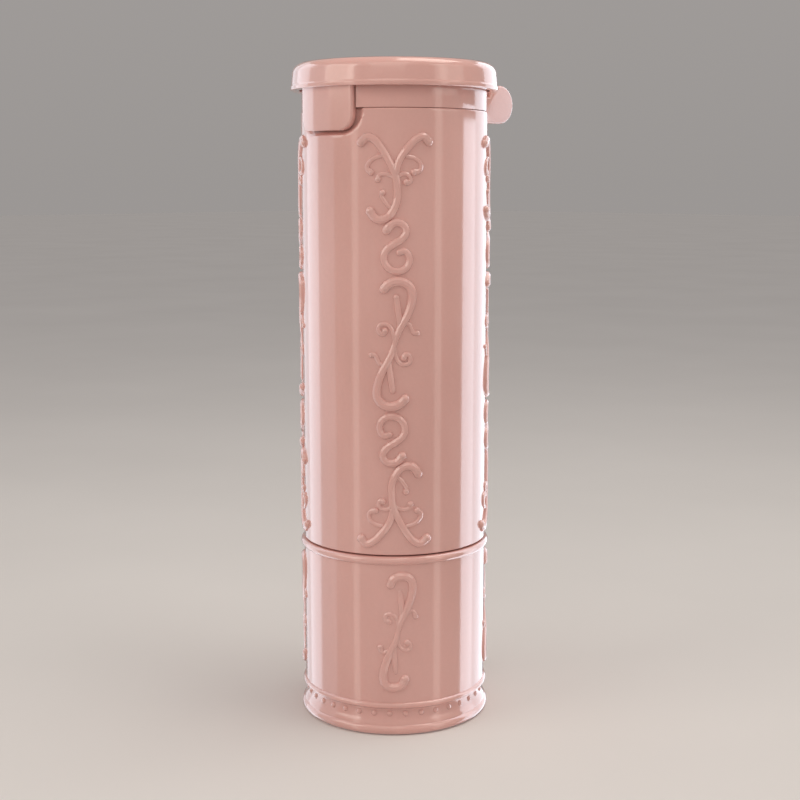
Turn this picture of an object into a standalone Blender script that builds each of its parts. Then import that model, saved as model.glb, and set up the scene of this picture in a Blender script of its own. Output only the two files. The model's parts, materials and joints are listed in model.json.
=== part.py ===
"""Twist-up lipstick case with a hinged flip lid, modelled closed and standing on its base.

Frame: +Z up, origin at the centre of the underside. The lid's latch tongue faces -Y and its hinge is at +Y,
with the hinge axis along X. Sizes are written in millimetres and turned into metres by `mm`.
"""
import math

import bmesh
import bpy
from mathutils import Matrix, Vector

# ---------------------------------------------------------------- driving dimensions, in millimetres
SEGMENTS = 48                # sides of every large round piece
FIT = 0.3                    # gap kept between pieces that meet end to end

WALL_R = 11.05               # outside of the sleeve
BORE_R = 9.95                # inside of the sleeve and of the base shell
BASE_R = 10.95               # outside of the turning base

RING_TOP_Z = 21.45           # top of the base's waist ring
SLEEVE_BOTTOM_Z = RING_TOP_Z + FIT
SLEEVE_TOP_Z = 72.45
COLLAR_Z = SLEEVE_TOP_Z + FIT
COLLAR_TOP_Z = 75.3
COLLAR_R = 10.95
LID_R = 12.24
LID_RIM_Z = 74.85            # lower edge of the lid's rim
LID_SIDE_TOP_Z = 76.6        # where the rim starts to round over
LID_EDGE_R = 10.9            # where that rounding meets the slightly domed top
LID_EDGE_Z = 77.9
LID_TOP_Z = 78.3

RING_TUBE_R = 0.48           # waist ring, a half-round bead
FOOT_BEAD_Z = 3.55
FOOT_BEAD_TUBE_R = 0.35
FLANGE_R = 11.3

TONGUE_R = 11.6              # outer face of the latch tongue
TONGUE_INNER_R = 10.65
TONGUE_BOTTOM_Z = 70.0
TONGUE_HALF_ANGLE = 21.2     # degrees each side of -Y
TONGUE_CORNER_R = 1.7
RECESS_FLOOR_R = 10.35
RECESS_BOTTOM_Z = 69.5
RECESS_HALF_ANGLE = 26.4
POCKET_HALF_ANGLE = 22.8     # slot in the collar behind the tongue

HINGE_Y = 13.2
HINGE_Z = 73.64
BARREL_R = 2.3
BARREL_HALF_LENGTH = 5.3
KNUCKLE_HALF_LENGTH = 1.9    # the lid's knuckle, between the collar's two lugs
PIN_R = 0.6
PIN_HOLE_R = 0.65
PIN_START_X = -5.1
PIN_END_X = 4.1              # the pin is blind at +X

GUIDE_INNER_R = 6.8
GUIDE_OUTER_R = 7.5
GUIDE_BOTTOM_Z = 40.0
GUIDE_TOP_Z = 75.2
SPIRAL_INNER_R = 7.7
SPIRAL_OUTER_R = 8.9
SPIRAL_TOP_Z = 71.9
SPIRAL_SHOULDER_Z = 30.4
SPIRAL_SPIGOT_R = 8.25
SPIRAL_BOTTOM_Z = 24.4
NECK_INNER_R = 8.4
NECK_OUTER_R = 9.75
NECK_BOTTOM_Z = 12.0
NECK_TOP_Z = SPIRAL_SHOULDER_Z - FIT
SNAP_Z = 28.5                # snap bead that keeps the base in the sleeve
FRICTION_Z = 26.0

CUP_R = 6.55
CUP_INNER_R = 6.0
CUP_BOTTOM_Z = 45.6
CUP_FLOOR_Z = 47.0
CUP_TOP_Z = 56.5
LUG_R = 0.8                  # two round lugs carry the cup
LUG_Z = 46.6
LUG_END_R = 8.2
GROOVE_R = 8.5               # floor of the spiral grooves
GROOVE_HEIGHT = 2.4
PITCH = 16.0                 # rise of the cup for each turn of the base
SLOT_HALF_WIDTH = 1.1
SLOT_BOTTOM_Z = 45.4
SLOT_TOP_Z = 72.4

BULLET_R = 5.9
BULLET_BOTTOM_Z = 47.2
BULLET_TIP_Z = 73.5
BULLET_HEEL_Z = 66.5         # low side of the slanted end, next to the hinge

LINER_R = 9.4
LINER_SKIRT_R = 6.3
LINER_SKIRT_INNER_R = 5.7

# name: (linear colour, roughness, metallic)
MATERIALS = {
    "pink_plastic": ((0.80, 0.50, 0.50), 0.22, 0.0),
    "inner_plastic": ((0.86, 0.80, 0.78), 0.40, 0.0),
    "wax": ((0.45, 0.03, 0.05), 0.45, 0.0),
    "steel": ((0.55, 0.55, 0.56), 0.30, 1.0),
    "rubber": ((0.05, 0.05, 0.05), 0.70, 0.0),
}


def mm(*values):
    """Millimetres to metres, one value or a vector."""
    scaled = [value / 1000 for value in values]
    return scaled[0] if len(scaled) == 1 else Vector(scaled)


def make_material(name):
    colour, roughness, metallic = MATERIALS[name]
    material = bpy.data.materials.new(name)
    material.use_nodes = True
    shader = material.node_tree.nodes["Principled BSDF"]
    shader.inputs["Base Color"].default_value = (*colour, 1.0)
    shader.inputs["Roughness"].default_value = roughness
    shader.inputs["Metallic"].default_value = metallic
    return material


def make_object(name, shape, material=None):
    """Turn a bmesh into an object; without a material it is a helper for a Boolean."""
    bmesh.ops.remove_doubles(shape, verts=shape.verts, dist=mm(0.001))
    bmesh.ops.recalc_face_normals(shape, faces=shape.faces)
    mesh = bpy.data.meshes.new(name)
    shape.to_mesh(mesh)
    shape.free()
    mesh.shade_smooth()
    mesh.set_sharp_from_angle(angle=math.radians(35))
    thing = bpy.data.objects.new(name, mesh)
    bpy.context.scene.collection.objects.link(thing)
    if material is None:
        thing.hide_render = True
        thing.display_type = "WIRE"
    else:
        mesh.materials.append(bpy.data.materials[material])
    return thing


def combine(thing, operation, helper):
    """Add one exact Boolean to an object."""
    modifier = thing.modifiers.new(helper.name, "BOOLEAN")
    modifier.operation = operation
    modifier.solver = "EXACT"
    modifier.object = helper


def arc(centre_r, centre_z, radius, start, end, steps):
    """Points of a round stretch of an outline; angles in degrees from the outward direction."""
    angles = [math.radians(start + (end - start) * i / steps) for i in range(steps + 1)]
    return [(centre_r + radius * math.cos(a), centre_z + radius * math.sin(a)) for a in angles]


def spin_outline(outline, closed=True, start=0.0, sweep=360.0, steps=SEGMENTS):
    """Spin an (r, z) outline about Z. A partial sweep gets flat end faces."""
    shape = bmesh.new()
    turn = Matrix.Rotation(math.radians(start), 3, "Z")
    verts = [shape.verts.new(turn @ mm(r, 0, z)) for r, z in outline]
    pairs = list(zip(verts, verts[1:]))
    if closed:
        pairs.append((verts[-1], verts[0]))
    edges = [shape.edges.new(pair) for pair in pairs]
    full = sweep == 360.0
    geometry = verts + edges
    if not full:
        geometry = verts + edges + [shape.faces.new(verts)]
    bmesh.ops.spin(shape, geom=geometry, axis=(0, 0, 1), cent=(0, 0, 0), angle=math.radians(sweep),
                   steps=steps, use_merge=full)
    return shape


def turned(name, outline, material=None, closed=True, steps=SEGMENTS):
    return make_object(name, spin_outline(outline, closed=closed, steps=steps), material)


def tube(name, inner, outer, bottom, top, material=None, steps=SEGMENTS):
    outline = [(outer, top), (outer, bottom), (inner, bottom), (inner, top)]
    return turned(name, outline, material, steps=steps)


def sector(name, inner, outer, bottom, top, half_angle, steps=12):
    """Curved block centred on -Y, used as a helper."""
    outline = [(outer, top), (outer, bottom), (inner, bottom), (inner, top)]
    return make_object(name, spin_outline(outline, start=-90 - half_angle, sweep=2 * half_angle, steps=steps))


def rod_along_x(name, radius, x_start, x_end, y, z, material=None, steps=16):
    shape = bmesh.new()
    place = Matrix.Translation(mm((x_start + x_end) / 2, y, z)) @ Matrix.Rotation(math.pi / 2, 4, "Y")
    bmesh.ops.create_cone(shape, cap_ends=True, segments=steps, radius1=mm(radius), radius2=mm(radius),
                          depth=mm(x_end - x_start), matrix=place)
    return make_object(name, shape, material)


def block(name, low, high):
    shape = bmesh.new()
    size = mm(*high) - mm(*low)
    place = Matrix.Translation((mm(*high) + mm(*low)) / 2) @ Matrix.Diagonal((*size, 1.0))
    bmesh.ops.create_cube(shape, size=1.0, matrix=place)
    return make_object(name, shape)


def prism(name, outline, direction):
    """Extrude a flat outline of points along a direction."""
    shape = bmesh.new()
    face = shape.faces.new([shape.verts.new(point) for point in outline])
    grown = bmesh.ops.extrude_face_region(shape, geom=[face])
    moved = [item for item in grown["geom"] if isinstance(item, bmesh.types.BMVert)]
    bmesh.ops.translate(shape, verts=moved, vec=direction)
    return make_object(name, shape)


# ---------------------------------------------------------------- body: sleeve, collar, guide tube, pin
def build_sleeve():
    edge = 0.25
    groove_half = 0.5
    outline = [
        (WALL_R - edge, SLEEVE_TOP_Z),
        (WALL_R, SLEEVE_TOP_Z - edge),
        (WALL_R, SLEEVE_BOTTOM_Z + edge),
        (WALL_R - edge, SLEEVE_BOTTOM_Z),
        (BORE_R, SLEEVE_BOTTOM_Z),
        (BORE_R, SNAP_Z - groove_half),
        (BORE_R + 0.3, SNAP_Z - groove_half),
        (BORE_R + 0.3, SNAP_Z + groove_half),
        (BORE_R, SNAP_Z + groove_half),
        (BORE_R, SLEEVE_TOP_Z),
    ]
    sleeve = turned("outer_sleeve", outline, "pink_plastic")
    recess = sector("finger_recess_cutter", RECESS_FLOOR_R, WALL_R + 1, RECESS_BOTTOM_Z, SLEEVE_TOP_Z + 1,
                    RECESS_HALF_ANGLE)
    combine(sleeve, "DIFFERENCE", recess)


def hinge_lug(side):
    """One D-shaped lug of the collar: a round barrel end with a flat-bottomed web to the collar."""
    web_inner_y = 9.0
    web_top_z = 74.5
    bottom_z = HINGE_Z - BARREL_R
    meet = math.degrees(math.asin((web_top_z - HINGE_Z) / BARREL_R))
    round_end = arc(HINGE_Y, HINGE_Z, BARREL_R, -90, 180 - meet, 18)
    outline = [(web_inner_y, bottom_z), *round_end, (web_inner_y, web_top_z)]
    inner_x = KNUCKLE_HALF_LENGTH + FIT
    start_x = inner_x if side > 0 else -BARREL_HALF_LENGTH
    points = [mm(start_x, y, z) for y, z in outline]
    lug = prism(f"hinge_lug_{'right' if side > 0 else 'left'}", points, mm(BARREL_HALF_LENGTH - inner_x, 0, 0))
    combine(lug, "DIFFERENCE", bpy.data.objects["sleeve_clearance_cutter"])
    return lug


def build_collar():
    spigot_inner_r = SPIRAL_OUTER_R + 0.2
    spigot_bottom_z = 64.0
    plate_z = SPIRAL_TOP_Z + FIT
    bore_r = GUIDE_OUTER_R + 0.1
    outline = [
        (COLLAR_R, COLLAR_TOP_Z),
        (COLLAR_R, COLLAR_Z),
        (NECK_OUTER_R, COLLAR_Z),
        (NECK_OUTER_R, spigot_bottom_z),
        (spigot_inner_r, spigot_bottom_z),
        (spigot_inner_r, plate_z),
        (bore_r, plate_z),
        (bore_r, COLLAR_TOP_Z),
    ]
    collar = turned("neck_collar", outline, "pink_plastic")
    clearance_top_z = SLEEVE_TOP_Z + FIT / 2
    outline = [(0, clearance_top_z), (WALL_R + 0.2, clearance_top_z), (WALL_R + 0.2, 60.0), (0, 60.0)]
    turned("sleeve_clearance_cutter", outline, closed=False)
    for side in (-1, 1):
        combine(collar, "UNION", hinge_lug(side))
    pocket = sector("tongue_pocket_cutter", RECESS_FLOOR_R, WALL_R + 1, COLLAR_Z - 0.1, COLLAR_TOP_Z + 1,
                    POCKET_HALF_ANGLE)
    knuckle_room = rod_along_x("knuckle_room_cutter", BARREL_R + FIT, -KNUCKLE_HALF_LENGTH - FIT,
                               KNUCKLE_HALF_LENGTH + FIT, HINGE_Y, HINGE_Z, steps=24)
    pin_hole = rod_along_x("pin_hole_cutter", PIN_HOLE_R, -BARREL_HALF_LENGTH - 1, PIN_END_X + 0.2,
                           HINGE_Y, HINGE_Z)
    for cutter in (pocket, knuckle_room, pin_hole):
        combine(collar, "DIFFERENCE", cutter)


def build_guide_tube():
    guide = tube("guide_tube", GUIDE_INNER_R, GUIDE_OUTER_R, GUIDE_BOTTOM_Z, GUIDE_TOP_Z, "inner_plastic")
    reach = GUIDE_OUTER_R + 0.5
    slots = block("guide_slot_cutter", (-reach, -SLOT_HALF_WIDTH, SLOT_BOTTOM_Z),
                  (reach, SLOT_HALF_WIDTH, SLOT_TOP_Z))
    combine(guide, "DIFFERENCE", slots)


def build_hinge_pin():
    rod_along_x("hinge_pin", PIN_R, PIN_START_X, PIN_END_X, HINGE_Y, HINGE_Z, "steel")


# ---------------------------------------------------------------- turning base: shell, neck, spiral, weight
def build_base_shell():
    flange = arc(FLANGE_R - 0.7, 0.7, 0.7, -90, 40, 4)
    foot_bead = arc(BASE_R, FOOT_BEAD_Z, FOOT_BEAD_TUBE_R, -80, 90, 5)
    ring = arc(BASE_R, RING_TOP_Z - RING_TUBE_R, RING_TUBE_R, -90, 90, 6)
    outer = [*flange, (BASE_R, 1.7), *foot_bead, *ring]
    outline = [*reversed(outer), (BORE_R, 0), (BORE_R, RING_TOP_Z)]
    turned("base_shell", outline, "pink_plastic")


def build_drive_neck():
    groove_half = 0.35
    groove_r = 9.3
    bead = arc(NECK_OUTER_R, SNAP_Z, 0.3, 90, -90, 4)
    outline = [
        (NECK_OUTER_R, NECK_TOP_Z),
        *bead,
        (NECK_OUTER_R, FRICTION_Z + groove_half),
        (groove_r, FRICTION_Z + groove_half),
        (groove_r, FRICTION_Z - groove_half),
        (NECK_OUTER_R, FRICTION_Z - groove_half),
        (NECK_OUTER_R, NECK_BOTTOM_Z),
        (NECK_INNER_R, NECK_BOTTOM_Z),
        (NECK_INNER_R, NECK_TOP_Z),
    ]
    turned("drive_neck", outline, "inner_plastic")
    turned("friction_ring", arc(9.6, FRICTION_Z, 0.26, 0, -315, 7), "rubber")


def helix_cutter(name, start_angle):
    """Swept rectangle that follows a falling helix, so turning the base forward lifts the lug in it."""
    run_in = 27.0
    top_z = SPIRAL_TOP_Z + 2
    sweep = run_in + (top_z - LUG_Z) / PITCH * 360
    steps = round(sweep / 7.5)
    shape = bmesh.new()
    rings = []
    for i in range(steps + 1):
        angle = run_in - sweep * i / steps
        height = LUG_Z - PITCH * angle / 360
        turn = Matrix.Rotation(math.radians(start_angle + angle), 3, "Z")
        corners = [(GUIDE_OUTER_R, -0.5), (GROOVE_R, -0.5), (GROOVE_R, 0.5), (GUIDE_OUTER_R, 0.5)]
        rings.append([shape.verts.new(turn @ mm(r, 0, height + half * GROOVE_HEIGHT)) for r, half in corners])
    for lower, upper in zip(rings, rings[1:]):
        for i in range(4):
            j = (i + 1) % 4
            shape.faces.new((lower[i], lower[j], upper[j], upper[i]))
    shape.faces.new(rings[0])
    shape.faces.new(rings[-1])
    return make_object(name, shape)


def build_spiral_tube():
    outline = [
        (SPIRAL_OUTER_R, SPIRAL_TOP_Z),
        (SPIRAL_OUTER_R, SPIRAL_SHOULDER_Z),
        (SPIRAL_SPIGOT_R, SPIRAL_SHOULDER_Z),
        (SPIRAL_SPIGOT_R, SPIRAL_BOTTOM_Z),
        (SPIRAL_INNER_R, SPIRAL_BOTTOM_Z),
        (SPIRAL_INNER_R, SPIRAL_TOP_Z),
    ]
    spiral = turned("spiral_tube", outline, "inner_plastic")
    for i in range(2):
        combine(spiral, "DIFFERENCE", helix_cutter(f"spiral_groove_cutter_{i}", 180 * i))


def build_base_inside():
    plug_r = BORE_R - FIT
    plug_top_z = 1.3
    weight_bottom_z = plug_top_z + FIT
    turned("base_plug", [(0, plug_top_z), (plug_r, plug_top_z), (plug_r, 0), (0, 0)], "pink_plastic",
           closed=False)
    turned("base_weight", [(0, 6.6), (8.6, 6.6), (8.6, weight_bottom_z), (0, weight_bottom_z)], "steel",
           closed=False)


# ---------------------------------------------------------------- carrier: cup and lipstick
def build_cup():
    outline = [
        (0, CUP_FLOOR_Z),
        (CUP_INNER_R, CUP_FLOOR_Z),
        (CUP_INNER_R, CUP_TOP_Z),
        (CUP_R, CUP_TOP_Z),
        (CUP_R, CUP_BOTTOM_Z),
        (0, CUP_BOTTOM_Z),
    ]
    cup = turned("cup", outline, "inner_plastic", closed=False)
    for side in (-1, 1):
        ends = sorted((side * (CUP_INNER_R + 0.2), side * LUG_END_R))
        combine(cup, "UNION", rod_along_x(f"cup_lug_{'right' if side > 0 else 'left'}", LUG_R, *ends, 0, LUG_Z,
                                          steps=12))


def build_bullet():
    outline = [(0, BULLET_TIP_Z), (BULLET_R, BULLET_TIP_Z), (BULLET_R, BULLET_BOTTOM_Z), (0, BULLET_BOTTOM_Z)]
    bullet = turned("lipstick_bullet", outline, "wax", closed=False)
    reach = BULLET_R + 1
    slope = (BULLET_TIP_Z - BULLET_HEEL_Z) / (2 * BULLET_R)
    middle_z = (BULLET_TIP_Z + BULLET_HEEL_Z) / 2
    slant = [(-reach, middle_z + slope * reach), (reach, middle_z - slope * reach), (reach, 80.0), (-reach, 80.0)]
    cutter = prism("slant_cutter", [mm(-reach, y, z) for y, z in slant], mm(2 * reach, 0, 0))
    combine(bullet, "DIFFERENCE", cutter)


# ---------------------------------------------------------------- lid: shell with tongue and knuckle, liner
def build_tongue():
    tongue = sector("latch_tongue", TONGUE_INNER_R, TONGUE_R, TONGUE_BOTTOM_Z, LID_RIM_Z + 0.7,
                    TONGUE_HALF_ANGLE)
    half_width = TONGUE_R * math.sin(math.radians(TONGUE_HALF_ANGLE)) + 0.01
    corner_x = half_width - TONGUE_CORNER_R
    corner_z = TONGUE_BOTTOM_Z + TONGUE_CORNER_R
    right_corner = arc(corner_x, corner_z, TONGUE_CORNER_R, -90, 0, 5)
    left_corner = [(-x, z) for x, z in reversed(right_corner)]
    top_z = LID_SIDE_TOP_Z
    outline = [*right_corner, (half_width, top_z), (-half_width, top_z), *left_corner]
    front_y = -TONGUE_R - 1
    mask = prism("tongue_outline", [mm(x, front_y, z) for x, z in outline], mm(0, 4, 0))
    combine(tongue, "INTERSECT", mask)
    return tongue


def build_lid():
    hollow_r = LINER_R + 0.2
    ceiling_z = 76.9
    rounding = [(LID_R, LID_SIDE_TOP_Z), (LID_R - 0.18, 77.15), (LID_R - 0.6, 77.6), (LID_EDGE_R, LID_EDGE_Z)]
    outline = [
        (0, LID_TOP_Z),
        (LID_EDGE_R / 2, LID_TOP_Z - 0.1),
        *reversed(rounding),
        (LID_R, LID_RIM_Z + 0.25),
        (LID_R - 0.2, LID_RIM_Z),
        (COLLAR_R + 0.25, LID_RIM_Z),
        (COLLAR_R + 0.25, COLLAR_TOP_Z + FIT),
        (hollow_r, COLLAR_TOP_Z + FIT),
        (hollow_r, ceiling_z),
        (0, ceiling_z),
    ]
    lid = turned("lid_shell", outline, "pink_plastic", closed=False)
    knuckle = rod_along_x("lid_knuckle", BARREL_R, -KNUCKLE_HALF_LENGTH, KNUCKLE_HALF_LENGTH, HINGE_Y, HINGE_Z,
                          steps=24)
    collar_room = turned("collar_room_cutter", [(0, COLLAR_TOP_Z + FIT), (COLLAR_R + 0.25, COLLAR_TOP_Z + FIT),
                                                (COLLAR_R + 0.25, 60.0), (0, 60.0)], closed=False)
    combine(knuckle, "DIFFERENCE", collar_room)
    combine(lid, "UNION", knuckle)
    combine(lid, "UNION", build_tongue())
    inner_x = KNUCKLE_HALF_LENGTH
    for side in (-1, 1):
        ends = sorted((side * inner_x, side * (BARREL_HALF_LENGTH + FIT)))
        room = rod_along_x(f"lug_room_cutter_{'right' if side > 0 else 'left'}", BARREL_R + FIT, *ends, HINGE_Y,
                           HINGE_Z, steps=24)
        combine(lid, "DIFFERENCE", room)
    pin_hole = rod_along_x("knuckle_hole_cutter", PIN_HOLE_R, -inner_x - 0.5, inner_x + 0.5, HINGE_Y, HINGE_Z)
    combine(lid, "DIFFERENCE", pin_hole)


def build_liner():
    disc_z = COLLAR_TOP_Z + FIT
    outline = [
        (0, 76.7),
        (LINER_R, 76.7),
        (LINER_R, disc_z),
        (LINER_SKIRT_R, disc_z),
        (LINER_SKIRT_R, 74.6),
        (LINER_SKIRT_INNER_R, 74.6),
        (LINER_SKIRT_INNER_R, disc_z),
        (0, disc_z),
    ]
    turned("lid_liner", outline, "inner_plastic", closed=False)


for old in list(bpy.data.objects):
    bpy.data.objects.remove(old, do_unlink=True)
for material_name in MATERIALS:
    make_material(material_name)

build_sleeve()
build_collar()
build_guide_tube()
build_hinge_pin()
build_base_shell()
build_drive_neck()
build_spiral_tube()
build_base_inside()
build_cup()
build_bullet()
build_lid()
build_liner()
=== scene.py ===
# %% [markdown]
# # A twist-up lipstick case with a flip lid
#
# This lesson dresses a small cosmetic case in its finished looks. The engineering model already says
# where every wall, hinge and thread is. Here each moulded part gets smooth roundings, the raised
# scrollwork, the row of pearls and a glossy plastic finish, and everything keeps the place that the
# engineering model gives it.
#
# The case stands upright along Z. Its latch tongue faces -Y, its hinge is at +Y, and the hinge pin
# runs along X.

# %% Load the engineering model
import json
import math

import bmesh
import bpy
from mathutils import Matrix, Vector

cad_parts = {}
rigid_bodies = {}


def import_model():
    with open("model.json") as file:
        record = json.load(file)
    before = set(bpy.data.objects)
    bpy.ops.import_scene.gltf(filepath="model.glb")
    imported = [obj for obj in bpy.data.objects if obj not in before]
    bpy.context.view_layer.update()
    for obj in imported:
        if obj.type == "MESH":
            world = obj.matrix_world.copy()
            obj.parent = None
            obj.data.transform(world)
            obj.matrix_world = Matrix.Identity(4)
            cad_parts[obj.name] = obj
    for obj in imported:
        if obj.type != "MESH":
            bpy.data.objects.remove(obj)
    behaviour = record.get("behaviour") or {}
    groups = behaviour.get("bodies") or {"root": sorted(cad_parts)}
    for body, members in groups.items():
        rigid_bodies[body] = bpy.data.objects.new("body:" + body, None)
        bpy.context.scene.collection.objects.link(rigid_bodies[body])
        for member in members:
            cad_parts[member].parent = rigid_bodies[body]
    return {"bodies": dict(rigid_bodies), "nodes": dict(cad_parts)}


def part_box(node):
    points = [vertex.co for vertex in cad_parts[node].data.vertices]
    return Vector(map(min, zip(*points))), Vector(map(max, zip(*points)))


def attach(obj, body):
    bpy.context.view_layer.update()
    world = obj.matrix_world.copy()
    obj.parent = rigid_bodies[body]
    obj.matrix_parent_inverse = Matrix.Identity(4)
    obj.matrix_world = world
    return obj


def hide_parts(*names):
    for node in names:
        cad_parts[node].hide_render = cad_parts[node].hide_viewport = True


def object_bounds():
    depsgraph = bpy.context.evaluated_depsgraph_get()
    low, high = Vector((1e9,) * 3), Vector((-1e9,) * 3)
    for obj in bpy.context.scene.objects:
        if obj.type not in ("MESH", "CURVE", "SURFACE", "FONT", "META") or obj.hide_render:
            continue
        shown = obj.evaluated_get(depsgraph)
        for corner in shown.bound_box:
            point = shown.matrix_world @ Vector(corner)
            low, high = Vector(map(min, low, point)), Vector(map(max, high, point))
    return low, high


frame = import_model()
cad_low, cad_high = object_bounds()
print("bodies:", ", ".join(sorted(frame["bodies"])))
print("case size in mm:", [round(size * 1000, 1) for size in cad_high - cad_low])

# %% [markdown]
# ## Sizes
#
# A maker works in millimetres and Blender works in metres, so `mm` turns one into the other. The big
# sizes are read from the engineering model, piece by piece. The few that follow are wall steps and
# roundings which that model leaves plain. Keeping them together means that one number changes one
# feature of the case.

# %% Sizes shared by several pieces
MM = 0.001


def mm(*values):
    """Millimetres to metres: a number for one value, a vector for more."""
    return values[0] * MM if len(values) == 1 else Vector(values) * MM


def top_of(node):
    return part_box(node)[1].z / MM


def bottom_of(node):
    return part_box(node)[0].z / MM


def radius_of(node):
    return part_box(node)[1].x / MM


# all in millimetres; a name that ends in R is a radius from the axis of its part
WALL_R = radius_of("outer_sleeve")
LID_R = radius_of("lid_shell")
FLANGE_R = radius_of("base_shell")
BORE_R = 9.95
BASE_WALL_R = 10.95
COLLAR_R = 10.95
SLEEVE_TOP = top_of("outer_sleeve")
SLEEVE_BOTTOM = bottom_of("outer_sleeve")
RING_TOP = top_of("base_shell")
LID_TOP = top_of("lid_shell")
LID_RIM = 74.85
COLLAR_TOP = 75.3
GAP = 0.3
HINGE_Y = 13.2
HINGE_Z = 73.64
BARREL_R = 2.3
BARREL_HALF = 5.3
KNUCKLE_HALF = 1.9
PIN_HOLE_R = 0.65
TONGUE_FACE_R = 11.6
TONGUE_BACK_R = 10.65
TONGUE_BOTTOM = 70.0
TONGUE_HALF_ANGLE = math.radians(21.2)
TURN_STEPS = 192
print("sleeve from", round(SLEEVE_BOTTOM, 2), "to", round(SLEEVE_TOP, 2), "mm, radius", round(WALL_R, 2))

# %% [markdown]
# ## Writing node maths as sums
#
# A material is a graph of nodes, and long graphs are hard to read when every multiplication takes
# four lines. The small class below wraps a node's output, so that `1 - mask * 0.2` builds the Math
# nodes by itself. `Graph` makes every other node from its type, its settings and its sockets.
# Materials, the light of the room and Geometry Nodes are all node trees, so all three are built on
# it.

# %% A value that builds Math nodes
class Value:
    """A node's output; every sum or product of values adds one Math node."""

    def __init__(self, graph, socket):
        self.graph = graph
        self.socket = socket

    def maths(self, operation, *others):
        return self.graph.maths(operation, self, *others)

    def __add__(self, other):
        return self.maths("ADD", other)

    def __sub__(self, other):
        return self.maths("SUBTRACT", other)

    def __rsub__(self, other):
        return self.graph.maths("SUBTRACT", other, self)

    def __mul__(self, other):
        return self.maths("MULTIPLY", other)

    def __truediv__(self, other):
        return self.maths("DIVIDE", other)

    def __rtruediv__(self, other):
        return self.graph.maths("DIVIDE", other, self)

    __radd__ = __add__
    __rmul__ = __mul__


# %% A node tree that is written as a few sentences
class Graph:
    """A node tree, with short ways to add and link its nodes."""

    def __init__(self, tree):
        self.tree = tree

    def feed(self, socket, item):
        """Give a socket a link when the item is a value, and a plain setting otherwise."""
        if isinstance(item, Value):
            self.tree.links.new(item.socket, socket)
        else:
            socket.default_value = item

    def node(self, kind, settings=(), sockets=(), output=0):
        """Any node: its type, settings (set first), and sockets by name or number."""
        made = self.tree.nodes.new(kind)
        for key, setting in dict(settings).items():
            setattr(made, key, setting)
        for key, item in dict(sockets).items():
            self.feed(made.inputs[key], item)
        return Value(self, made.outputs[output])

    def maths(self, operation, *items):
        return self.node("ShaderNodeMath", {"operation": operation}, dict(enumerate(items)))


# %% [markdown]
# ## A finish is a graph round one shader
#
# Every finish here is one Principled shader with a few patterns in front of it. `Finish` adds the
# steps that all of them share: a soft noise of a given size in millimetres, a mix of two colours, a
# change of range, and a fine relief of the surface.

# %% A material's finish
class Finish(Graph):
    """One material; its `set` and `relief` feed the Principled shader."""

    def __init__(self, name):
        self.material = bpy.data.materials.new(name)
        self.material.use_nodes = True
        super().__init__(self.material.node_tree)
        self.shader = self.tree.nodes["Principled BSDF"]

    def place(self, scale=(1.0, 1.0, 1.0)):
        """Where a point lies on the piece, stretched by a scale."""
        where = self.node("ShaderNodeTexCoord", output="Object")
        return self.node("ShaderNodeMapping", sockets={"Vector": where, "Scale": scale})

    def noise(self, size, detail=2.0, stretch=(1.0, 1.0, 1.0)):
        """Soft random mottling; `size` is the size of one blotch in millimetres."""
        sockets = {"Vector": self.place(stretch), "Scale": 1.0 / mm(size), "Detail": detail}
        return self.node("ShaderNodeTexNoise", sockets=sockets)

    def blend(self, factor, first, second):
        """Mix two colours, each written as (red, green, blue)."""
        colours = {0: factor, 6: (*first, 1.0), 7: (*second, 1.0)}
        return self.node("ShaderNodeMix", {"data_type": "RGBA"}, colours, output=2)

    def range(self, value, low, high, to_low=0.0, to_high=1.0):
        return self.node("ShaderNodeMapRange", sockets={
            "Value": value, "From Min": low, "From Max": high, "To Min": to_low, "To Max": to_high})

    def relief(self, height, depth, strength=1.0):
        """Fine unevenness of the surface; `depth` in millimetres."""
        sockets = {"Height": height, "Distance": mm(depth), "Strength": strength}
        self.feed(self.shader.inputs["Normal"], self.node("ShaderNodeBump", sockets=sockets))

    def set(self, **settings):
        for key, item in settings.items():
            self.feed(self.shader.inputs[key.replace("_", " ")], item)


# %% [markdown]
# ## The pale pink shell plastic
#
# The outer shells are injection-moulded ABS, polished in the mould, so they are glossy and a little
# translucent. A perfectly even pink looks like paint. Real moulded plastic has faint flow clouds in
# its colour, a skin that is glossier in some places than in others, and a very shallow waviness that
# makes long reflections waver. Noises of different sizes give those three things, and the clouds are
# stretched along Z, the way the melt ran.

# %% Shell plastic
def shell_plastic():
    finish = Finish("pale_pink_shell_plastic")
    clouds = finish.noise(9.0, 3.0, stretch=(1.0, 1.0, 0.35))
    specks = finish.noise(0.35, 2.0)
    handling = finish.noise(3.0, 4.0)
    waviness = finish.noise(5.5, 1.0, stretch=(1.0, 1.0, 0.4))
    tint = finish.range(clouds * 0.85 + specks * 0.15, 0.35, 0.65)
    finish.set(
        Base_Color=finish.blend(tint, (0.79, 0.445, 0.395), (0.86, 0.50, 0.45)),
        Roughness=finish.range(handling, 0.3, 0.7, 0.12, 0.19),
        Subsurface_Weight=0.08,
        Subsurface_Scale=mm(0.6),
        Subsurface_Radius=(1.0, 0.55, 0.5),
        IOR=1.53,
        Coat_Weight=0.8,
        Coat_Roughness=0.08,
    )
    finish.relief(waviness * 0.9 + specks * 0.1, 0.05, 0.35)
    return finish.material


SHELL = shell_plastic()
print("made", SHELL.name)

# %% [markdown]
# ## The plastic of the inner parts
#
# The parts of the mechanism are a plain white acetal, which slides well and is never polished. It is
# duller than the shells, slightly warm, and has a fine even grain left by the mould.

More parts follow.
